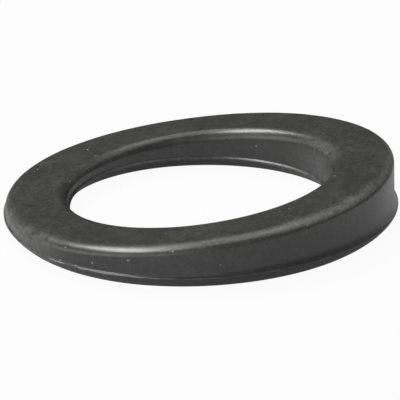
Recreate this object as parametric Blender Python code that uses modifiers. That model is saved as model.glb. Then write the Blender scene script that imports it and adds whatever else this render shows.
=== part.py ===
"""Overflow washer: one moulded rubber ring, thick on one side and thin on the other.

Blender 4.5, metres, +Z up. The flat base stands on z = 0 with its centre at the origin, and
the thick side is at +X. The base is a low rim, a little wider than the wall above it both
outside and round the bore, with rounded lower edges. The top face slopes from the thick side
to the thin one, and its two edges are filleted.
"""

import math

import bmesh
import bpy

# Driving dimensions, in metres and degrees
RIM_RADIUS = 0.04128
BORE_RADIUS = 0.0270
THICK_SIDE = 0.0131
THIN_SIDE = 0.0051
RIM_HEIGHT = 0.0032
OUTER_STEP = 0.0005
INNER_STEP = 0.0003
OUTER_ROUND = 0.0036
INNER_ROUND = 0.0042
WALL_DRAFT = 0.5
OUTER_FILLET = 0.0013
INNER_FILLET = 0.0027

# The finish of the rubber
RUBBER_COLOUR = (0.036, 0.037, 0.033, 1.0)
RUBBER_ROUGHNESS = 0.5

# How finely the round shapes are divided
TURN_STEPS = 128
ROUND_STEPS = 5
FILLET_STEPS = 5

# A lower edge is a quarter of a superellipse of this power: 1 is a bevel and 2 a round
ROUND_POWER = 1.33
SHARP_ANGLE = math.radians(35)
# The bevel's own measure of shape, where 0.5 is a circular arc
ROUND_FILLET = 0.5
# No fillet takes more than this share of the wall that it rounds
FILLET_SHARE = 0.9
MERGE_DISTANCE = 1e-5
TOUCH = 1e-6


def clear_scene():
    """Remove every object that the startup file brought."""
    for item in list(bpy.data.objects):
        bpy.data.objects.remove(item, do_unlink=True)


def new_collection(name):
    collection = bpy.data.collections.new(name)
    bpy.context.scene.collection.children.link(collection)
    return collection


def rubber():
    """Satin black rubber."""
    material = bpy.data.materials.new("black_rubber")
    material.use_nodes = True
    shader = material.node_tree.nodes["Principled BSDF"]
    shader.inputs["Base Color"].default_value = RUBBER_COLOUR
    shader.inputs["Roughness"].default_value = RUBBER_ROUGHNESS
    shader.inputs["Metallic"].default_value = 0.0
    material.diffuse_color = RUBBER_COLOUR
    return material


def slope():
    """The rise of the top face for each metre along +X."""
    return (THICK_SIDE - THIN_SIDE) / (2 * RIM_RADIUS)


def top_height(x):
    """The height of the sloping top face above the base at x."""
    return (THICK_SIDE + THIN_SIDE) / 2 + slope() * x


def rounded_edge(edge_radius, width, side):
    """Points of a lower edge, from the rim's full radius down to the flat base.

    side is 1 outside, where the edge draws in, and -1 round the bore, where it opens out.
    """
    points = []
    for step in range(ROUND_STEPS + 1):
        angle = math.radians(90) * step / ROUND_STEPS
        inward = width * (1 - math.cos(angle) ** (2 / ROUND_POWER))
        height = RIM_HEIGHT * (1 - math.sin(angle) ** (2 / ROUND_POWER))
        points.append((edge_radius - side * inward, height))
    return points


def section():
    """The ring's section before its top is cut: (radius, height) from the outer top edge down."""
    blank_height = top_height(RIM_RADIUS) + OUTER_FILLET
    draft = math.tan(math.radians(WALL_DRAFT)) * (blank_height - RIM_HEIGHT)
    outer_wall = RIM_RADIUS - OUTER_STEP
    inner_wall = BORE_RADIUS + INNER_STEP
    outer = [(outer_wall - draft, blank_height), (outer_wall, RIM_HEIGHT)]
    outer += rounded_edge(RIM_RADIUS, OUTER_ROUND, 1)
    inner = rounded_edge(BORE_RADIUS, INNER_ROUND, -1)[::-1]
    inner += [(inner_wall, RIM_HEIGHT), (inner_wall + draft, blank_height)]
    return outer + inner


def turned_blank(parts):
    """Turn the closed section about Z, and return the ring as a plain mesh object."""
    points = section()
    count = len(points)
    profile = bpy.data.meshes.new("washer_section")
    edges = [(i, (i + 1) % count) for i in range(count)]
    profile.from_pydata([(radius, 0.0, height) for radius, height in points], edges, [])
    ring = bpy.data.objects.new("overflow_washer", profile)
    parts.objects.link(ring)

    turn = ring.modifiers.new("Turn", "SCREW")
    turn.axis = "Z"
    turn.angle = math.radians(360)
    turn.steps = TURN_STEPS
    turn.render_steps = TURN_STEPS
    turn.use_merge_vertices = True
    turn.merge_threshold = MERGE_DISTANCE

    graph = bpy.context.evaluated_depsgraph_get()
    turned = bpy.data.meshes.new_from_object(ring.evaluated_get(graph))
    ring.modifiers.remove(turn)
    ring.data = turned
    bpy.data.meshes.remove(profile)
    turned.name = "overflow_washer"
    return ring


def cut_slope(shape):
    """Slice off all above the sloping plane and close the cut with a ring of faces."""
    point = (0.0, 0.0, top_height(0.0))
    normal = (-slope(), 0.0, 1.0)
    everything = shape.verts[:] + shape.edges[:] + shape.faces[:]
    bmesh.ops.bisect_plane(
        shape, geom=everything, dist=TOUCH, plane_co=point, plane_no=normal, clear_outer=True
    )
    rims = [edge for edge in shape.edges if edge.is_boundary]
    bmesh.ops.bridge_loops(shape, edges=rims)


def top_edges(shape, outside):
    """The edges where the sloping face meets the outer wall, or the bore's wall."""
    middle = (RIM_RADIUS + BORE_RADIUS) / 2
    found = []
    for edge in shape.edges:
        on_top = all(abs(vert.co.z - top_height(vert.co.x)) < TOUCH for vert in edge.verts)
        radii = [math.hypot(vert.co.x, vert.co.y) for vert in edge.verts]
        same_side = all((radius > middle) == outside for radius in radii)
        if on_top and same_side:
            found.append(edge)
    return found


def fillet(shape, outside, radius):
    """Round one edge of the top face, by no more than its thin side has room for."""
    edge_radius = RIM_RADIUS if outside else BORE_RADIUS
    room = FILLET_SHARE * (top_height(-edge_radius) - RIM_HEIGHT)
    bmesh.ops.bevel(
        shape,
        geom=top_edges(shape, outside),
        offset=min(radius, room),
        offset_type="OFFSET",
        segments=FILLET_STEPS,
        profile=ROUND_FILLET,
        affect="EDGES",
        clamp_overlap=True,
    )


def overflow_washer(parts):
    """Turn the ring, cut its sloping top and round the top's edges."""
    ring = turned_blank(parts)
    shape = bmesh.new()
    shape.from_mesh(ring.data)
    cut_slope(shape)
    fillet(shape, True, OUTER_FILLET)
    fillet(shape, False, INNER_FILLET)
    bmesh.ops.recalc_face_normals(shape, faces=shape.faces)
    shape.to_mesh(ring.data)
    shape.free()
    ring.data.shade_smooth()
    ring.data.set_sharp_from_angle(angle=SHARP_ANGLE)
    ring.data.materials.append(rubber())
    return ring


def main():
    clear_scene()
    parts = new_collection("overflow_washer")
    overflow_washer(parts)


main()
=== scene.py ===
"""Overflow washer: a tapered ring of black moulded rubber on a pale floor.

The washer is one surface worked out round the bore's axis. It stands in the place of the CAD
ring, in the same frame: flat base on z = 0, bore on the Z axis, thick side at +X.
"""

import math

import bpy
import numpy as np
from bpy.props import FloatProperty, FloatVectorProperty, IntProperty, PointerProperty
from bpy.types import Operator, Panel, PropertyGroup
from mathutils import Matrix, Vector


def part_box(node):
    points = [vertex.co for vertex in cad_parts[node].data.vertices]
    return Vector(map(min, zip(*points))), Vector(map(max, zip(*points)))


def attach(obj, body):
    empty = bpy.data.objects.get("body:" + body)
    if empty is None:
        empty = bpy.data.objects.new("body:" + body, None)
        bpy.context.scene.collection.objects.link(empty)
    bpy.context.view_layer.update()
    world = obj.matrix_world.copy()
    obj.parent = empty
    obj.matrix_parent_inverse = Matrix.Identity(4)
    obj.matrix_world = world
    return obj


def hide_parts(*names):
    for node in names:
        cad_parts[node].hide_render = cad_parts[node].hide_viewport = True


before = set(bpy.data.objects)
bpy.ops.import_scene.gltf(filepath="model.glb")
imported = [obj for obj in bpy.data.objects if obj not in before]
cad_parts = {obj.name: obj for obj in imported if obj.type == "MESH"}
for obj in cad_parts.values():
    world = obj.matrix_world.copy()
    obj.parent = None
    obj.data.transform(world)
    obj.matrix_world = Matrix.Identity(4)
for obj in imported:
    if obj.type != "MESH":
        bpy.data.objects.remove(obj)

bl_info = {
    "name": "Overflow washer",
    "version": (1, 0, 0),
    "blender": (4, 5, 0),
    "location": "View3D > Sidebar > Washer",
    "description": "Makes a tapered rubber washer for a bath overflow, and a stage for it",
    "category": "Add Mesh",
}

CAD_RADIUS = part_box("overflow_washer")[1][0]
MILLIMETRE = 0.001

# Waves round the ring, as rows of turns, height in millimetres and phase in degrees
OUTSIDE_WAVES = np.array([[2, 0.18, 137], [3, 0.13, -57], [4, 0.13, 111]])
BORE_WAVES = np.array([[2, 0.07, 150], [3, 0.13, -48], [4, 0.03, -101]])
TOP_WAVES = np.array([[2, 0.07, -41], [3, 0.03, 171]])
BASE_WAVES = np.array([[0, 0.12, 0], [2, 0.09, 52], [3, 0.05, -109]])
# Waves of the rubber's unevenness and of the torn fin, with a share in place of the height
UNEVEN_WAVES = np.array(
    [[5, 0.30, 23], [8, 0.26, 120], [13, 0.22, 252], [19, 0.18, 75], [31, 0.12, 172], [47, 0.08, 298]]
)
FLASH_WAVES = np.array([[23, 0.5, 0], [41, 0.35, 63], [67, 0.3, 155], [97, 0.2, 34]])
# Stretches of the ring, in degrees from the thick side, where +90 is the back: where each
# starts and how softly, and where it ends and how softly
CREASE_GONE = (-70, 8, 7, 9)
# Where a painted highlight lies along the outer rounding, from the right front past the thick side
PAINTED_HIGHLIGHT_EDGE = (-62, 14, 24, 9)
TORN_FIN = (-126, 5, -93, 5)
# How far the crease is filled in on its stretch
CREASE_FILLED = 0.9
# The deeper step and the swelling at the thick side: middle and width of their bell curves
STEP_BELL = (-2, 36)
SWELLING_BELL = (2, 28)
# The back: its turn in radians, the sine of the angle less that turn where it begins, and how
# sharply it does
BACK_TURN = 0.1
BACK_SINE = -0.15
BACK_SHARPNESS = 4
# Corners from the outer rim's lip to the foot of its wall, with a sharp crease and with a filled
# one. Each is so many steps in from the rim and creases back out, then up from the rim's height
# by so many lips, creases and steps
SHARP_CORNERS = (
    (0.1, 0, -0.5, 0, 0),
    (0.8, 0, 0, -0.4, 0),
    (1, 0.8, 0, 0, 0),
    (1, 0, 0, 0, 0),
    (1, 0, 0, 1.5, 0),
)
SOFT_CORNERS = (
    (0.06, 0, -0.3, 0, 0),
    (0.3, 0, 0, 0, 0.5),
    (0.6, 0, 0, 0, 1.4),
    (1, 0, 0, 0, 2.6),
    (1, 0, 0, 0, 4.4),
)
# Corners from the foot of the bore's wall to its rim: steps in from the wall, then creases and
# beads up from the rim's height
BORE_CORNERS = ((0, 1.5, 0), (0, 0, 0), (0.1, -0.4, 0), (0.9, 0, -0.35))
# Share of a wall's height that the rounding over it may take
WALL_SHARE = 0.85
# Rows of faces along the stretches of the section
ROWS = {
    "edge": 15, "lip": 5, "slope": 4, "shelf": 2, "crease": 5, "outer wall": 10,
    "outer rounding": 18, "top": 20, "inner rounding": 20, "bore wall": 8, "bead": 10, "base": 8,
}
# First and last stretch of each swell of the section: lip, two top edges and bead
SWELLS = (
    ("lip", "lip slope"),
    ("outer rounding", "outer rounding"),
    ("inner rounding", "inner rounding"),
    ("bead slope", "bead"),
)
# The torn fin: what is added to its waves, its height off its own stretch, how it narrows, and
# how far outwards it leans
FIN_LEVEL = 0.25
FIN_ELSEWHERE = 0.15
FIN_POWER = 3
FIN_OUTWARD = 0.4
# Share of the unevenness that shows as height on the top, and how sharply the top face begins
UNEVEN_UP = 0.6
TOP_POWER = 6
# Strengths of the pale film and of the painted light drawn with it: on faces, lost on the top,
# painted highlight on the outer rounding's edge, wear and painted highlight on the bead, and painted
# fill light on the rims
FILM_AND_LIGHT_ON_FACES = 0.5
FILM_AND_LIGHT_LOST_ON_TOP = 0.75
PAINTED_HIGHLIGHT_ON_EDGE = 0.85
WEAR_AND_HIGHLIGHT_ON_BEAD = 0.5
PAINTED_FILL_ON_RIMS = 0.12
# Noises of the rubber: waves for each metre, detail and roughness
CLOUD = (90.0, 4.0, 0.6)
MOTTLE = (420.0, 3.0, 0.6)
STREAK = (1500.0, 3.0, 0.7)
FLECK = (1600.0, 2.0, 0.7)
GRAIN = (3200.0, 2.0, 0.6)
STREAK_STRETCH = (1.0, 1.0, 0.25)
# Where in their noises the paler tone, the thin clouds of film and the dry streaks come in
TONE_RANGE = (0.36, 0.64)
CLOUDS_RANGE = (0.2, 0.5)
DRY_RANGE = (0.3, 0.65)
# Strengths of the top face's painted light (its warmer, paler tones), of the fin's dusty colour that
# is partly painted highlight, of the clouds, and of the streaked film with its painted light
TOP_PAINTED_LIGHT = 0.7
FIN_DUST_AND_GLINT = 0.9
CLOUDS_FILM = 0.05
DRY_FILM_AND_LIGHT = 0.6
# What the mottle, the film and the dust add to the roughness, and two of them to the relief
MOTTLE_ROUGH = 0.1
FILM_ROUGH = 0.25
DUST_ROUGH = 0.3
MOTTLE_RELIEF = 2.0
DUST_RELIEF = 3.0
# Fine dust: cells for each metre, size and its spread in cells, soft edge in cells, and strength
SPECK_CELLS = 300.0
SPECK_SIZE = 0.02
SPECK_SPREAD = 0.07
SPECK_EDGE = (-0.02, 0.01)
SPECK_STRENGTH = 0.75
# Share of a larger grain's radius that is solid
GRAIN_CORE = 0.4
# Places with a pale dry film and scuffs, some of them also painted light that makes the left end, the
# bore's left and back left and the right front rounding paler: x, y and z in millimetres, reach in
# millimetres, and strength
HAZE_AND_PAINTED_LIGHT = np.array(
    [
        [-41.5, -4.0, 3.8, 3.5, 0.90],
        [-40.5, -10.0, 4.0, 4.5, 1.10],
        [-38.0, -17.0, 4.2, 5.0, 1.35],
        [-33.5, -24.5, 4.4, 5.0, 1.25],
        [-27.5, -31.0, 4.8, 5.0, 0.85],
        [33.0, -21.0, 12.0, 4.0, 0.60],
        [29.0, -27.0, 11.5, 3.0, 0.40],
        [21.0, 17.0, 7.5, 5.0, 0.80],
        [24.5, 13.0, 9.0, 4.0, 1.70],
        [28.0, 8.0, 11.0, 4.0, 1.20],
        [-27.5, 5.0, 6.0, 4.5, 0.50],
        [-25.5, 11.0, 6.2, 4.5, 0.55],
        [-20.5, 18.0, 6.8, 4.5, 0.45],
        [14.0, 35.0, 11.0, 9.0, 0.25],
        [-30.0, 27.0, 5.5, 8.0, 0.12],
        [4.0, -37.0, 8.6, 4.0, 0.15],
    ]
)
# Grains of dust: x, y and z in millimetres, radius in millimetres, and strength
GRAINS = (
    (-27.8, 20.9, 6.6, 0.30, 0.9),
    (26.0, 9.5, 10.4, 0.26, 0.8),
    (-36.6, 9.7, 5.8, 0.24, 0.6),
    (-15.2, -38.1, 4.5, 0.26, 0.7),
    (-21.1, -34.6, 6.2, 0.22, 0.5),
    (-22.3, -34.2, 3.3, 0.28, 0.5),
    (-18.9, -36.4, 3.2, 0.26, 0.5),
    (-22.3, 30.9, 7.0, 0.22, 0.4),
    (24.2, 20.1, 11.6, 0.22, 0.4),
    (9.8, -39.6, 5.5, 0.22, 0.4),
    (-1.6, -33.0, 9.0, 0.20, 0.4),
    (25.5, -15.5, 11.7, 0.22, 0.4),
    (-30.5, -16.5, 6.1, 0.20, 0.35),
    (-33.4, 4.6, 5.9, 0.20, 0.35),
    (-36.0, -3.5, 5.7, 0.22, 0.40),
    (-9.5, 33.5, 8.3, 0.22, 0.35),
    (11.0, -31.5, 10.1, 0.20, 0.35),
    (30.4, 6.5, 11.9, 0.20, 0.35),
)
# Lamps: name, degrees right of ahead, degrees up, width and height in metres, and brightness
LAMPS = (
    ("key_left", -82, 64, 0.24, 0.26, 15.5),
    ("key_high", -60, 62, 0.24, 0.24, 15.0),
    ("key_low", -43, 54, 0.26, 0.26, 18.0),
    ("overhead", 20, 82, 0.34, 0.34, 2.6),
    ("right_top", 80, 66, 0.34, 0.34, 2.0),
    ("top_back", -10, 53, 0.30, 0.24, 3.4),
    ("top_right", 20, 63, 0.24, 0.24, 6.0),
    ("left_side", -105, 18, 0.80, 0.66, 2.7),
    ("left_back", -65, 18, 0.50, 0.50, 1.0),
    ("left_front", -145, 18, 0.80, 0.66, 1.9),
    ("left_high", -125, 48, 0.70, 0.50, 1.1),
    ("front", 180, 16, 0.80, 0.66, 0.35),
    ("front_high", 180, 48, 0.80, 0.50, 0.6),
    ("right_front", 145, 16, 0.80, 0.66, 0.25),
    ("right_side", 95, 16, 0.80, 0.66, 0.2),
    ("right_high", 75, 48, 0.70, 0.50, 0.8),
    ("right_back", 50, 18, 0.60, 0.50, 0.15),
)
# Height that the lamps face, and how far the floor lies under the washer
LAMPS_FACE = 0.005
FLOOR_DROP = 0.00005
# The camera's target: its height, then right and down in the picture, as shares of the radius
TARGET_UP = 0.1
TARGET_RIGHT = 0.0024
TARGET_DOWN = 0.0167


class WasherSizes(PropertyGroup):
    """Sizes of the washer."""

    rim_radius: FloatProperty(
        name="Rim radius", description="Radius over the outer rim", default=CAD_RADIUS,
        unit="LENGTH", precision=5,
    )
    bore_radius: FloatProperty(
        name="Bore radius", description="Radius inside the bore's rim", default=0.0270,
        unit="LENGTH", precision=5,
    )
    thick_side: FloatProperty(
        name="Thick side", description="Height of the top's plane at the thick side",
        default=0.0131, unit="LENGTH", precision=5,
    )
    thin_side: FloatProperty(
        name="Thin side", description="Height of the top's plane at the thin side",
        default=0.0051, unit="LENGTH", precision=5,
    )
    rim_height: FloatProperty(
        name="Rim height", description="Height of the rim above the base", default=0.0032,
        unit="LENGTH", precision=5,
    )
    bore_rim: FloatProperty(
        name="Bore's rim", description="Height of the rim round the bore above the base",
        default=0.0033, unit="LENGTH", precision=5,
    )
    outer_step: FloatProperty(
        name="Outer step", description="How far the outer wall is set in from the rim",
        default=0.0005, unit="LENGTH", precision=5,
    )
    deeper_step: FloatProperty(
        name="Deeper step", description="How much deeper that is at the thick side, as a share",
        default=0.9,
    )
    inner_step: FloatProperty(
        name="Inner step", description="How far the bore's wall is set back from its rim",
        default=0.0006, unit="LENGTH", precision=5,
    )
    outer_round: FloatProperty(
        name="Outer round", description="Width of the rounding under the outer rim",
        default=0.0035, unit="LENGTH", precision=5,
    )
    inner_round: FloatProperty(
        name="Inner round", description="Width of the rounding under the bore's rim",
        default=0.0040, unit="LENGTH", precision=5,
    )
    round_power: FloatProperty(
        name="Round power", description="Power of the lower edges: 1 is a bevel and 2 a round",
        default=1.33,
    )
    draft: FloatProperty(
        name="Draft", description="Lean of the two walls", default=math.radians(0.5),
        subtype="ANGLE",
    )
    outer_fillet: FloatProperty(
        name="Outer fillet", description="Reach over the top of the rounding of its outer edge",
        default=0.0032, unit="LENGTH", precision=5,
    )
    outer_drop: FloatProperty(
        name="Outer drop", description="Reach of the same rounding down the outer wall",
        default=0.0017, unit="LENGTH", precision=5,
    )
    back_fillet: FloatProperty(
        name="Back fillet", description="Both reaches of that rounding at the back",
        default=0.0012, unit="LENGTH", precision=5,
    )
    inner_fillet: FloatProperty(
        name="Inner fillet", description="Reach over the top of the rounding at the bore",
        default=0.0026, unit="LENGTH", precision=5,
    )
    inner_drop: FloatProperty(
        name="Inner drop", description="Reach of the same rounding down the bore",
        default=0.0023, unit="LENGTH", precision=5,
    )
    lip: FloatProperty(
        name="Lip", description="Height of the rounding on the outer rim's upper edge",
        default=0.0006, unit="LENGTH", precision=5,
    )
    bead: FloatProperty(
        name="Bead", description="Height of the rounding on the upper edge of the bore's rim",
        default=0.0011, unit="LENGTH", precision=5,
    )
    groove: FloatProperty(
        name="Groove", description="Depth of the crease between the outer rim and its wall",
        default=0.00008, unit="LENGTH", precision=5,
    )
    flash: FloatProperty(
        name="Flash", description="Height of the broken fin left on the rim by the mould",
        default=0.00016, unit="LENGTH", precision=5,
    )
    swelling: FloatProperty(
        name="Swelling", description="How far the outside swells at the thick side",
        default=0.0002, unit="LENGTH", precision=5,
    )
    unevenness: FloatProperty(
        name="Unevenness", description="How far the rubber strays from a true ring",
        default=0.00003, unit="LENGTH", precision=5,
    )
    turn_steps: IntProperty(
        name="Steps round", description="Columns of faces round the ring", default=640, min=32,
    )


class RubberFinish(PropertyGroup):
    """Finish of the rubber."""

    dark: FloatVectorProperty(
        name="Dark", description="Darkest tone of the rubber", subtype="COLOR", size=4,
        min=0, max=1, default=(0.018, 0.0187, 0.0175, 1),
    )
    light: FloatVectorProperty(
        name="Light", description="Palest tone of the clean rubber", subtype="COLOR", size=4,
        min=0, max=1, default=(0.0315, 0.032, 0.0305, 1),
    )
    # The top face's own dark and pale tones are painted light: warmer and paler than the sides, for
    # the warm light the top reflects.
    top_painted_dark: FloatVectorProperty(
        name="Dark on top", description="Darkest tone of the top face", subtype="COLOR",
        size=4, min=0, max=1, default=(0.025, 0.0265, 0.0215, 1),
    )
    top_painted_pale: FloatVectorProperty(
        name="Light on top", description="Palest tone of the clean top face", subtype="COLOR",
        size=4, min=0, max=1, default=(0.079, 0.081, 0.071, 1),
    )
    # The pale film's colour, also used for the painted highlights and painted fill light that the
    # film carries.
    bloom_and_painted_light: FloatVectorProperty(
        name="Bloom", description="Pale film that comes out on old rubber", subtype="COLOR",
        size=4, min=0, max=1, default=(0.215, 0.215, 0.21, 1),
    )
    dust: FloatVectorProperty(
        name="Dust", description="Colour of the specks of dust", subtype="COLOR", size=4,
        min=0, max=1, default=(0.475, 0.495, 0.475, 1),
    )
    roughness: FloatProperty(
        name="Roughness", description="Roughness of the clean rubber", default=0.25, min=0,
        max=1,
    )
    shine: FloatProperty(
        name="Shine", description="Specular level of the rubber", default=0.79, min=0, max=1,
    )
    grain: FloatProperty(
        name="Grain", description="Depth of the finest grain", default=0.000012,
        unit="LENGTH", precision=6,
    )


class StageSettings(PropertyGroup):
    """Floor, lamps and camera."""

    floor_colour: FloatVectorProperty(
        name="Floor", description="Colour of the floor", subtype="COLOR", size=4, min=0,
        max=1, default=(0.6, 0.6, 0.6, 1),
    )
    floor_size: FloatProperty(
        name="Floor size", description="Length of the floor's sides", default=6.0,
        unit="LENGTH",
    )
    floor_glow: FloatProperty(
        name="Floor glow", description="Share of plain white in what the camera sees of it",
        default=0.95, min=0, max=1,
    )
    floor_shine: FloatProperty(
        name="Floor in gloss", description="Share of plain white in what gloss shows of it",
        default=0.09, min=0, max=1,
    )
    surround: FloatProperty(
        name="Surround", description="Brightness of the room", default=0.07, min=0,
    )
    lamps: FloatProperty(
        name="Lamps", description="Brightness of all the lamps together", default=0.59, min=0,
    )
    azimuth: FloatProperty(
        name="Azimuth", description="Turn of the camera round the washer",
        default=math.radians(-8.9), subtype="ANGLE",
    )
    elevation: FloatProperty(
        name="Elevation", description="Height of the camera above the floor, as an angle",
        default=math.radians(20.6), subtype="ANGLE",
    )
    roll: FloatProperty(
        name="Roll", description="Lean of the camera", default=math.radians(-1.8),
        subtype="ANGLE",
    )
    distance: FloatProperty(
        name="Distance", description="From the camera to the washer", default=0.412,
        unit="LENGTH",
    )
    lens: FloatProperty(
        name="Lens", description="Focal length, in millimetres on a 36 mm sensor",
        default=178.1,
    )


class Shade:
    """A socket in a material's nodes. Sums on it add Math nodes."""

    def __init__(self, tree, socket=None):
        self.tree = tree
        self.socket = socket

    def node(self, kind, settings=None, inputs=None, output=0):
        """Add any node: its settings are set first, then its inputs are filled or linked."""
        made = self.tree.nodes.new(kind)
        for name, value in (settings or {}).items():
            setattr(made, name, value)
        for name, value in (inputs or {}).items():
            if isinstance(value, Shade):
                self.tree.links.new(value.socket, made.inputs[name])
            else:
                made.inputs[name].default_value = value
        return Shade(self.tree, made.outputs[output] if made.outputs else None)

    def math(self, operation, first, second):
        return self.node("ShaderNodeMath", {"operation": operation}, {0: first, 1: second})

    def __add__(self, other):
        return self.math("ADD", self, other)

    def __radd__(self, other):
        return self.math("ADD", other, self)

    def __sub__(self, other):
        return self.math("SUBTRACT", self, other)

    def __rsub__(self, other):
        return self.math("SUBTRACT", other, self)

    def __mul__(self, other):
        return self.math("MULTIPLY", self, other)

    def __rmul__(self, other):
        return self.math("MULTIPLY", other, self)

    def largest(self, other):
        return self.math("MAXIMUM", self, other)

    def between(self, low, high):
        """0 up to low, 1 from high, and smooth in between."""
        settings = {"interpolation_type": "SMOOTHSTEP", "clamp": True}
        inputs = {"Value": self, "From Min": low, "From Max": high}
        return self.node("ShaderNodeMapRange", settings, inputs)

    def noise(self, place, scale, detail=2.0, roughness=0.5):
        """Noise over a place, from about 0 to 1, with scale in waves for each metre."""
        inputs = {"Vector": place, "Scale": scale, "Detail": detail, "Roughness": roughness}
        return self.node("ShaderNodeTexNoise", {"noise_dimensions": "3D"}, inputs)

    def attribute(self, name):
        return self.node("ShaderNodeAttribute", {"attribute_name": name}, output="Fac")

    def tint(self, share, under, over):
        """The colour under, mixed with the colour over by a share."""
        return self.node("ShaderNodeMix", {"data_type": "RGBA"}, {0: share, 6: under, 7: over}, 2)


def new_material(name):
    """A material with an empty tree, and a Shade to start its nodes from."""
    material = bpy.data.materials.new(name)
    material.use_nodes = True
    material.node_tree.nodes.clear()
    return material, Shade(material.node_tree)


def waves_round(angle, waves):
    """Sum over the waves of height times the cosine of (turns times angle plus phase)."""
    return np.cos(angle[:, None] * waves[:, 0] + np.radians(waves[:, 2])) @ waves[:, 1]


def straight(start, end, steps):
    """Points from start up to, but without, end: start plus a share of the way between them."""
    share = (np.arange(steps) / steps)[None, :, None]
    return start[:, None, :] * (1 - share) + end[:, None, :] * share


def rounded(start, corner, end, steps):
    """A conic from start to end, that leaves and arrives along the lines through corner.

    It is the quadratic through the three points with the corner weighted by the cosine of half
    of the turn, which makes it an arc of a circle where the corner is as far from both ends.
    """
    into = corner - start
    out = end - corner
    lengths = np.hypot(into[:, 0], into[:, 1]) * np.hypot(out[:, 0], out[:, 1])
    cosine = (into * out).sum(axis=1) / lengths
    weight = np.sqrt((1 + cosine) / 2)[:, None, None]
    share = (np.arange(steps) / steps)[None, :, None]
    first = (1 - share) ** 2
    middle = 2 * share * (1 - share) * weight
    last = share**2
    sums = first * start[:, None, :] + middle * corner[:, None, :] + last * end[:, None, :]
    return sums / (first + middle + last)


def lower_edge(side, radius, width, top, sizes, angle):
    """Lower edge of a rim, from its lip at the height top down to the flat base.

    A quarter of a superellipse: one less a power of the cosine across, and one less the same
    power of the sine down. side is 1 outside and -1 at the bore.
    """
    power = 2 / sizes.round_power
    begin = math.asin((1 - top / sizes.rim_height) ** (1 / power))
    turn = np.linspace(begin, math.pi / 2, ROWS["edge"])
    across = radius - side * width * (1 - np.cos(turn) ** power)
    down = sizes.rim_height * (1 - np.sin(turn) ** power)
    points = np.stack([across, down], axis=1)
    return np.repeat(points[None], len(angle), axis=0)


def pair(across, height, angle):
    """One point for each angle, from a radius and a height."""
    full = np.ones(len(angle))
    return np.stack([across * full, height * full], axis=1)


def degrees_of(angle):
    """An angle in degrees, from -180 to 180."""
    return np.degrees(np.angle(np.exp(1j * angle)))


def bell(angle, middle, width):
    """1 at an angle in degrees, and less each side: e to the minus square of widths away."""
    return np.exp(-((degrees_of(angle - math.radians(middle)) / width) ** 2))


def along(angle, start, start_width, end, end_width):
    """1 between two angles and 0 outside: half the difference of two hyperbolic tangents."""
    degrees = degrees_of(angle)
    entered = np.tanh((degrees - start) / start_width)
    return 0.5 * (entered - np.tanh((degrees - end) / end_width))


def at_back(angle):
    """0 at the front and 1 at the back: a hyperbolic tangent of the sine of the angle."""
    return 0.5 + 0.5 * np.tanh(BACK_SHARPNESS * (np.sin(angle - BACK_TURN) - BACK_SINE))


def outer_step(sizes, angle):
    """How far the outer wall is set in from the rim: deeper by a bell curve at the thick side."""
    return sizes.outer_step * (1 + sizes.deeper_step * bell(angle, *STEP_BELL))


def crease_fade(angle):
    """How far the crease over the outer rim is filled in: 0 is sharp and 1 is gone.

    It rises with a hyperbolic tangent from the front to the thick side, and falls past it.
    """
    return CREASE_FILLED * along(angle, *CREASE_GONE)


def top_plane(sizes):
    """The top's plane: its height on the bore's axis, and its rise for each metre along +X."""
    middle = (sizes.thick_side + sizes.thin_side) / 2
    return middle, (sizes.thick_side - sizes.thin_side) / (2 * sizes.rim_radius)


def top_corner(side, sizes, angle):
    """Where a wall meets the sloping top: its point, the wall's way up, the top's way out."""
    middle, slope = top_plane(sizes)
    rise = slope * np.cos(angle)
    if side > 0:
        foot = sizes.rim_radius - outer_step(sizes, angle)
    else:
        foot = sizes.bore_radius + sizes.inner_step
    lean = side * math.tan(sizes.draft)
    across = (foot - lean * (middle - sizes.rim_height)) / (1 + lean * rise)
    corner = np.stack([across, middle + rise * across], axis=1)
    up = np.array([-lean, 1.0]) / math.hypot(lean, 1.0)
    out = side * np.stack([np.ones(len(angle)), rise], axis=1)
    out = out / np.hypot(1.0, rise)[:, None]
    return corner, up, out


def within(reach, room):
    """A reach that nears the room there is, but never passes it: a power mean of the two."""
    return (reach**-6 + room**-6) ** (-1 / 6)


def room_over(rim, corner, crease):
    """How far down a wall a rounding may reach: most of the wall, less two creases."""
    return WALL_SHARE * (corner[:, 1] - rim) - 2 * crease


def blend(sharp, soft, fade):
    """A point for each angle, from the sharp one to the soft one by a share of the way."""
    return sharp + fade[:, None] * (soft - sharp)


def fifth_on(corner, other):
    """The point a fifth of the way from one corner to another."""
    return corner + (other - corner) / 5


def step_corners(rows, sizes, step):
    """The corners over the outer rim, from rows such as SHARP_CORNERS."""
    for inward, outward, lips, creases, steps in rows:
        across = sizes.rim_radius - inward * step + outward * sizes.groove
        up = lips * sizes.lip + creases * sizes.groove + steps * step
        yield np.stack([across, sizes.rim_height + up], axis=1)


def bore_corners(sizes, angle):
    """The corners over the bore's rim, from BORE_CORNERS."""
    foot = sizes.bore_radius + sizes.inner_step
    for inward, creases, beads in BORE_CORNERS:
        up = creases * sizes.groove + beads * sizes.bead
        yield pair(foot - inward * sizes.inner_step, sizes.bore_rim + up, angle)


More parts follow.
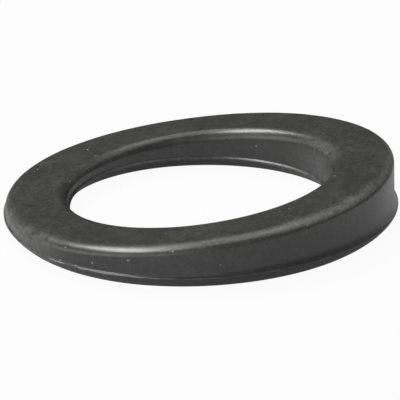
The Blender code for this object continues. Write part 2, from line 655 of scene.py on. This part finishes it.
def ring_section(sizes, angle):
    """The closed section at each angle, as rows of (radius, height), and the swells over it.

    It runs up the outside, in over the top, down the bore and out along the base. Straight
    stretches and conics join the corners, and the lower edges are superellipses. Where the
    crease over the outer rim fades, its corners move up the wall and the step becomes a slope.
    """
    rim = sizes.rim_height
    bore_rim = sizes.bore_rim
    outer_corner, outer_up, outer_out = top_corner(1, sizes, angle)
    inner_corner, inner_up, inner_out = top_corner(-1, sizes, angle)
    back = at_back(angle)
    outer_reach = sizes.outer_fillet + back * (sizes.back_fillet - sizes.outer_fillet)
    outer_drop = sizes.outer_drop + back * (sizes.back_fillet - sizes.outer_drop)
    outer_drop = within(outer_drop, room_over(rim, outer_corner, sizes.groove))
    inner_drop = within(sizes.inner_drop, room_over(bore_rim, inner_corner, sizes.groove))
    outer_low = outer_corner - outer_drop[:, None] * outer_up
    outer_high = outer_corner - outer_reach[:, None] * outer_out
    inner_high = inner_corner - sizes.inner_fillet * inner_out
    inner_low = inner_corner - inner_drop[:, None] * inner_up

    step = outer_step(sizes, angle)
    sharp = step_corners(SHARP_CORNERS, sizes, step)
    soft = step_corners(SOFT_CORNERS, sizes, step)
    fade = crease_fade(angle)
    lip_corner, lip_end, shelf_end, outer_crease, outer_root = (
        blend(first, last, fade) for first, last in zip(sharp, soft)
    )
    inner_root, inner_crease, bead_top, bead_corner = bore_corners(sizes, angle)
    lip_start = fifth_on(lip_corner, lip_end)
    bead_end = fifth_on(bead_corner, bead_top)
    outer_edge = lower_edge(1, sizes.rim_radius, sizes.outer_round, rim - sizes.lip, sizes, angle)
    outer_edge = outer_edge[:, ::-1]
    hole = sizes.bore_radius
    inner_edge = lower_edge(-1, hole, sizes.inner_round, bore_rim - sizes.bead, sizes, angle)
    stretches = {
        "outer edge": outer_edge[:, :-1],
        "lip": rounded(outer_edge[:, -1], lip_corner, lip_start, ROWS["lip"]),
        "lip slope": straight(lip_start, lip_end, ROWS["slope"]),
        "shelf": straight(lip_end, shelf_end, ROWS["shelf"]),
        "outer crease": rounded(shelf_end, outer_crease, outer_root, ROWS["crease"]),
        "outer wall": straight(outer_root, outer_low, ROWS["outer wall"]),
        "outer rounding": rounded(outer_low, outer_corner, outer_high, ROWS["outer rounding"]),
        "top": straight(outer_high, inner_high, ROWS["top"]),
        "inner rounding": rounded(inner_high, inner_corner, inner_low, ROWS["inner rounding"]),
        "bore wall": straight(inner_low, inner_root, ROWS["bore wall"]),
        "inner crease": rounded(inner_root, inner_crease, bead_top, ROWS["crease"]),
        "bead slope": straight(bead_top, bead_end, ROWS["slope"]),
        "bead": rounded(bead_end, bead_corner, inner_edge[:, 0], ROWS["bead"]),
        "inner edge": inner_edge[:, :-1],
        "base": straight(inner_edge[:, -1], outer_edge[:, 0], ROWS["base"]),
    }
    return np.concatenate(list(stretches.values()), axis=1), swells_over(stretches)


def swells_over(stretches):
    """For each swell, a share for each row of the section: a squared sine on its stretches."""
    names = list(stretches)
    starts = np.cumsum([0] + [stretch.shape[1] for stretch in stretches.values()])
    swells = np.zeros((len(SWELLS), starts[-1]))
    for swell, (first, last) in zip(swells, SWELLS):
        start = starts[names.index(first)]
        count = starts[names.index(last) + 1] - start
        swell[start : start + count] = np.sin(np.pi * np.arange(count) / count) ** 2
    return swells


def torn_fin(angle, lip_rows):
    """The share of flash: a power of the lip's swell, by waves that are cut off below 0."""
    torn = np.clip(waves_round(angle, FLASH_WAVES) + FIN_LEVEL, 0, 1)
    tall = FIN_ELSEWHERE + (1 - FIN_ELSEWHERE) * along(angle, *TORN_FIN)
    return (tall * torn)[:, None] * lip_rows**FIN_POWER


def ring_points(sizes):
    """The washer's surface on a grid of angle by section, and its shares of flash, top, and of film
    and painted light.

    Each section is turned to its angle about Z. The outside, the bore and the whole ring stray
    from a true circle by sums of waves, and the outside also by a bell curve at the thick side.
    Waves lift the base and the top too, and the fin of flash lifts part of the outer lip.
    """
    angle = np.arange(sizes.turn_steps) * 2 * np.pi / sizes.turn_steps
    section, swells = ring_section(sizes, angle)
    radius = section[..., 0]
    height = section[..., 1]
    share = (radius - sizes.bore_radius) / (sizes.rim_radius - sizes.bore_radius)
    swelling = sizes.swelling * bell(angle, *SWELLING_BELL)
    outside = (MILLIMETRE * waves_round(angle, OUTSIDE_WAVES) + swelling)[:, None]
    bore = MILLIMETRE * waves_round(angle, BORE_WAVES)[:, None]
    uneven = sizes.unevenness * waves_round(angle, UNEVEN_WAVES)[:, None]
    middle, slope = top_plane(sizes)
    plane = middle + slope * radius * np.cos(angle)[:, None]
    lifted = np.clip((height - sizes.rim_height) / (plane - sizes.rim_height), 0, 1)

    flash = torn_fin(angle, swells[0])
    fin = sizes.flash * flash
    radius = radius + share * outside + (1 - share) * bore + uneven + FIN_OUTWARD * fin
    top_waves = MILLIMETRE * waves_round(angle, TOP_WAVES)[:, None]
    height = height + MILLIMETRE * waves_round(angle, BASE_WAVES)[:, None] + fin
    height = height + lifted * (top_waves + UNEVEN_UP * uneven)
    x = radius * np.cos(angle)[:, None]
    y = radius * np.sin(angle)[:, None]
    points = np.stack([x, y, height], axis=2)

    top = lifted**TOP_POWER
    rims = section[..., 1] < sizes.rim_height
    haze_and_painted_light = film_and_painted_light_over(points, angle, swells, top, rims)
    return points, {"flash": flash, "top": top, "haze_and_painted_light": haze_and_painted_light}


def film_and_painted_light_over(points, angle, swells, top, rims):
    """The strength of the pale film and of the painted light drawn with it: that of its places,
    painted highlight on the outer edge, wear and painted highlight on the bead, and painted fill
    light on the rims.
    """
    outer_rows, inner_rows, bead_rows = swells[1:]
    faces = FILM_AND_LIGHT_ON_FACES + (1 - FILM_AND_LIGHT_ON_FACES) * (outer_rows + inner_rows)
    film_and_painted_light = haze_and_painted_light_at(points) * faces * (1 - FILM_AND_LIGHT_LOST_ON_TOP * top)
    # Painted highlight: the outer rounding paler along its stretch at the right.
    film_and_painted_light = film_and_painted_light + PAINTED_HIGHLIGHT_ON_EDGE * along(angle, *PAINTED_HIGHLIGHT_EDGE)[:, None] * outer_rows
    # Partly pale wear on the bead, partly a painted highlight along its line at the back.
    film_and_painted_light = film_and_painted_light + WEAR_AND_HIGHLIGHT_ON_BEAD * at_back(angle)[:, None] * bead_rows
    # Painted fill light: the lower rims paler, standing in for the light their shaded view of the
    # floor lacks.
    return film_and_painted_light + PAINTED_FILL_ON_RIMS * rims


def haze_and_painted_light_at(points):
    """The places of film and painted light at each point: a sum of e to the minus square of the
    reaches away.
    """
    off = points.reshape(-1, 1, 3) - MILLIMETRE * HAZE_AND_PAINTED_LIGHT[None, :, :3]
    near = (off**2).sum(axis=2) / (MILLIMETRE * HAZE_AND_PAINTED_LIGHT[:, 3]) ** 2
    return (np.exp(-near) @ HAZE_AND_PAINTED_LIGHT[:, 4]).reshape(points.shape[:2])


def closed_grid_mesh(name, points):
    """A mesh on a grid of points that closes on itself both ways, with a UV map over it."""
    columns, rows = points.shape[:2]
    number = np.arange(columns * rows).reshape(columns, rows)
    across = np.roll(number, -1, axis=0)
    corners = [number, across, np.roll(across, -1, axis=1), np.roll(number, -1, axis=1)]
    faces = np.stack(corners, axis=2).reshape(-1, 4)
    mesh = bpy.data.meshes.new(name)
    mesh.from_pydata(points.reshape(-1, 3), [], faces)
    column, row = np.meshgrid(np.arange(columns), np.arange(rows), indexing="ij")
    sides = [(column, row), (column + 1, row), (column + 1, row + 1), (column, row + 1)]
    spread = np.stack([np.stack([u / columns, v / rows], axis=2) for u, v in sides], axis=2)
    layer = mesh.uv_layers.new(name="around")
    layer.uv.foreach_set("vector", spread.astype(np.float32).ravel())
    mesh.shade_smooth()
    mesh.update()
    return mesh


def store(mesh, name, values):
    """Keep one number for each point of a mesh."""
    kept = mesh.attributes.new(name, "FLOAT", "POINT")
    kept.data.foreach_set("value", values.astype(np.float32).ravel())


def dust(shade, place):
    """The share of dust at a place: fine specks at random, and the larger grains."""
    cells = {"voronoi_dimensions": "3D", "feature": "F1"}
    inputs = {"Vector": place, "Scale": SPECK_CELLS}
    near = shade.node("ShaderNodeTexVoronoi", cells, inputs)
    chance = shade.node("ShaderNodeTexVoronoi", cells, inputs, "Color")
    size = SPECK_SIZE + SPECK_SPREAD * chance * chance
    share = SPECK_STRENGTH * (1 - (near - size).between(*SPECK_EDGE))
    for x, y, z, radius, strength in GRAINS:
        middle = (MILLIMETRE * x, MILLIMETRE * y, MILLIMETRE * z)
        settings = {"operation": "DISTANCE"}
        off = shade.node("ShaderNodeVectorMath", settings, {0: place, 1: middle}, "Value")
        outer = MILLIMETRE * radius
        share = share.largest(strength * (1 - off.between(GRAIN_CORE * outer, outer)))
    return share


def rubber_colour(shade, finish, film_and_painted_light, cloud, mottle, fleck):
    """Two dark tones in clouds, warmer paler ones on top as painted light, then the pale film with
    its painted highlights and fill light, and the fin, partly painted highlight, over them.
    """
    tone = (0.2 * cloud + 0.2 * mottle + 0.6 * fleck).between(*TONE_RANGE)
    colour = shade.tint(tone, tuple(finish.dark), tuple(finish.light))
    painted_top = shade.tint(tone, tuple(finish.top_painted_dark), tuple(finish.top_painted_pale))
    # Painted light: the top face takes its warmer, paler tones.
    colour = shade.tint(shade.attribute("top") * TOP_PAINTED_LIGHT, colour, painted_top)
    # Pale film, partly real bloom and scuffs, partly painted highlight and painted fill light.
    colour = shade.tint(film_and_painted_light, colour, tuple(finish.bloom_and_painted_light))
    # The torn fin's pale colour: partly real dusty flash, partly a painted highlight along the
    # parting line.
    return shade.tint(shade.attribute("flash") * FIN_DUST_AND_GLINT, colour, tuple(finish.dust))


def rubber(finish):
    """Black moulded rubber: two dark tones in clouds, warmer paler painted light on the top, a pale
    dry film that also carries painted highlights and fill light, fine grain and dust.
    """
    material, shade = new_material("washer_rubber")
    place = shade.node("ShaderNodeTexCoord", output="Object")
    cloud = shade.noise(place, *CLOUD)
    mottle = shade.noise(place, *MOTTLE)
    fleck = shade.noise(place, *FLECK)
    grain = shade.noise(place, *GRAIN)
    stretch = {"Vector": place, "Scale": STREAK_STRETCH}
    drawn = shade.node("ShaderNodeMapping", {"vector_type": "POINT"}, stretch)
    streak = shade.noise(drawn, *STREAK)
    dry = (0.2 * mottle + 0.4 * streak + 0.4 * fleck).between(*DRY_RANGE)
    clouds = (cloud * mottle).between(*CLOUDS_RANGE) * CLOUDS_FILM
    # Pale film from its places, with their painted highlights and fill light, broken up by dry
    # streaks.
    film_and_painted_light = clouds + shade.attribute("haze_and_painted_light") * dry * DRY_FILM_AND_LIGHT
    speck = dust(shade, place)
    colour = rubber_colour(shade, finish, film_and_painted_light, cloud, mottle, fleck)
    colour = shade.tint(speck, colour, tuple(finish.dust))
    rough = finish.roughness + MOTTLE_ROUGH * mottle + FILM_ROUGH * film_and_painted_light + DUST_ROUGH * speck
    height = grain + MOTTLE_RELIEF * mottle + DUST_RELIEF * speck
    relief = {"Strength": 1.0, "Distance": finish.grain, "Height": height}
    bump = shade.node("ShaderNodeBump", None, relief)
    inputs = {
        "Base Color": colour,
        "Roughness": rough,
        "Normal": bump,
        "Metallic": 0.0,
        "Specular IOR Level": finish.shine,
    }
    surface = shade.node("ShaderNodeBsdfPrincipled", None, inputs)
    shade.node("ShaderNodeOutputMaterial", None, {"Surface": surface})
    return material


def floor_finish(stage):
    """Pale floor. The camera sees it mostly as plain white, and gloss shows a little of that."""
    material, shade = new_material("pale_floor")
    plain = shade.node("ShaderNodeBsdfDiffuse", None, {"Color": tuple(stage.floor_colour)})
    glow = shade.node("ShaderNodeEmission", None, {"Color": (1, 1, 1, 1), "Strength": 1.0})
    camera = shade.node("ShaderNodeLightPath", output="Is Camera Ray")
    glossy = shade.node("ShaderNodeLightPath", output="Is Glossy Ray")
    through = shade.node("ShaderNodeLightPath", output="Is Transmission Ray")
    seen = (stage.floor_glow * camera).largest(stage.floor_shine * glossy.largest(through))
    surface = shade.node("ShaderNodeMixShader", None, {0: seen, 1: plain, 2: glow})
    shade.node("ShaderNodeOutputMaterial", None, {"Surface": surface})
    return material


def camera_axes(stage):
    """Right, up and ahead of the camera as it looks at the washer's middle, before its roll."""
    turn = stage.azimuth
    lift = stage.elevation
    right = Vector((math.cos(turn), -math.sin(turn), 0.0))
    level = Vector((math.sin(turn), math.cos(turn), 0.0))
    ahead = level * math.cos(lift) - Vector((0, 0, 1)) * math.sin(lift)
    return right, right.cross(ahead), ahead


def aim(item, place, target, roll=0.0):
    """Put a lamp or camera at a place, facing a target, and roll it about its own line."""
    facing = (target - place).to_track_quat("-Z", "Y").to_matrix().to_4x4()
    facing.translation = place
    item.matrix_world = facing
    item.rotation_euler.rotate_axis("Z", roll)


def soft_lamp(name, turn, lift, width, height, brightness):
    """A rectangular lamp a metre off that faces the washer.

    Its power is pi times its area and brightness, times the factor for all the lamps. turn is in
    degrees to the right of straight ahead of the camera, and lift in degrees above the floor.
    """
    stage = bpy.context.scene.washer_stage
    lamp = bpy.data.lights.new(name, "AREA")
    lamp.shape = "RECTANGLE"
    lamp.size = width
    lamp.size_y = height
    lamp.energy = stage.lamps * brightness * math.pi * width * height
    item = bpy.data.objects.new(name, lamp)
    bpy.context.scene.collection.objects.link(item)
    bearing = stage.azimuth + math.radians(turn)
    rise = math.radians(lift)
    flat = Vector((math.sin(bearing), math.cos(bearing), 0.0)) * math.cos(rise)
    aim(item, flat + Vector((0, 0, math.sin(rise))), Vector((0, 0, LAMPS_FACE)))
    return item


def add_floor(stage):
    """A flat square floor, just under the washer."""
    half = stage.floor_size / 2
    sides = [(-half, -half), (half, -half), (half, half), (-half, half)]
    mesh = bpy.data.meshes.new("floor")
    mesh.from_pydata([(x, y, -FLOOR_DROP) for x, y in sides], [], [(0, 1, 2, 3)])
    mesh.materials.append(floor_finish(stage))
    floor = bpy.data.objects.new("floor", mesh)
    bpy.context.scene.collection.objects.link(floor)


def add_room(stage):
    """An even white room round the washer."""
    world = bpy.data.worlds.new("room")
    world.use_nodes = True
    back = world.node_tree.nodes["Background"]
    back.inputs["Color"].default_value = (1, 1, 1, 1)
    back.inputs["Strength"].default_value = stage.surround
    bpy.context.scene.world = world


def add_camera(stage):
    """The camera, aimed at a place near the washer's middle."""
    middle = Vector((0, 0, TARGET_UP * CAD_RADIUS))
    right, up, ahead = camera_axes(stage)
    data = bpy.data.cameras.new("camera")
    data.sensor_width = 36.0
    data.lens = stage.lens
    data.clip_start = 0.01
    data.clip_end = 20.0
    camera = bpy.data.objects.new("camera", data)
    bpy.context.scene.collection.objects.link(camera)
    target = middle + CAD_RADIUS * (TARGET_RIGHT * right - TARGET_DOWN * up)
    aim(camera, middle - ahead * stage.distance, target, stage.roll)
    bpy.context.scene.camera = camera


class WASHER_OT_add_ring(Operator):
    """Make the rubber ring in the place of the CAD one"""

    bl_idname = "washer.add_ring"
    bl_label = "Add Ring"

    def execute(self, context):
        points, shares = ring_points(context.scene.washer_sizes)
        mesh = closed_grid_mesh("rubber_ring", points)
        for name, values in shares.items():
            store(mesh, name, values)
        mesh.materials.append(rubber(context.scene.washer_finish))
        ring = bpy.data.objects.new("rubber_ring", mesh)
        context.scene.collection.objects.link(ring)
        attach(ring, "root")
        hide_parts("overflow_washer")
        return {"FINISHED"}


class WASHER_OT_add_stage(Operator):
    """Make the floor, the soft lamps, the room and the camera"""

    bl_idname = "washer.add_stage"
    bl_label = "Add Stage"

    def execute(self, context):
        stage = context.scene.washer_stage
        add_floor(stage)
        for lamp in LAMPS:
            soft_lamp(*lamp)
        add_room(stage)
        add_camera(stage)
        context.scene.view_settings.view_transform = "Standard"
        return {"FINISHED"}


class WASHER_PT_panel(Panel):
    """Buttons and settings of the washer"""

    bl_label = "Overflow washer"
    bl_idname = "WASHER_PT_panel"
    bl_space_type = "VIEW_3D"
    bl_region_type = "UI"
    bl_category = "Washer"

    def draw(self, context):
        layout = self.layout
        layout.operator(WASHER_OT_add_ring.bl_idname)
        layout.operator(WASHER_OT_add_stage.bl_idname)
        for group in ("washer_sizes", "washer_finish", "washer_stage"):
            box = layout.box()
            settings = getattr(context.scene, group)
            for name in settings.__annotations__:
                box.prop(settings, name)


CLASSES = (
    WasherSizes,
    RubberFinish,
    StageSettings,
    WASHER_OT_add_ring,
    WASHER_OT_add_stage,
    WASHER_PT_panel,
)


def register():
    for item in CLASSES:
        bpy.utils.register_class(item)
    bpy.types.Scene.washer_sizes = PointerProperty(type=WasherSizes)
    bpy.types.Scene.washer_finish = PointerProperty(type=RubberFinish)
    bpy.types.Scene.washer_stage = PointerProperty(type=StageSettings)


def unregister():
    del bpy.types.Scene.washer_stage
    del bpy.types.Scene.washer_finish
    del bpy.types.Scene.washer_sizes
    for item in reversed(CLASSES):
        bpy.utils.unregister_class(item)


def main():
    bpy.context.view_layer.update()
    register()
    bpy.ops.washer.add_ring()
    bpy.ops.washer.add_stage()


if __name__ == "__main__":
    main()
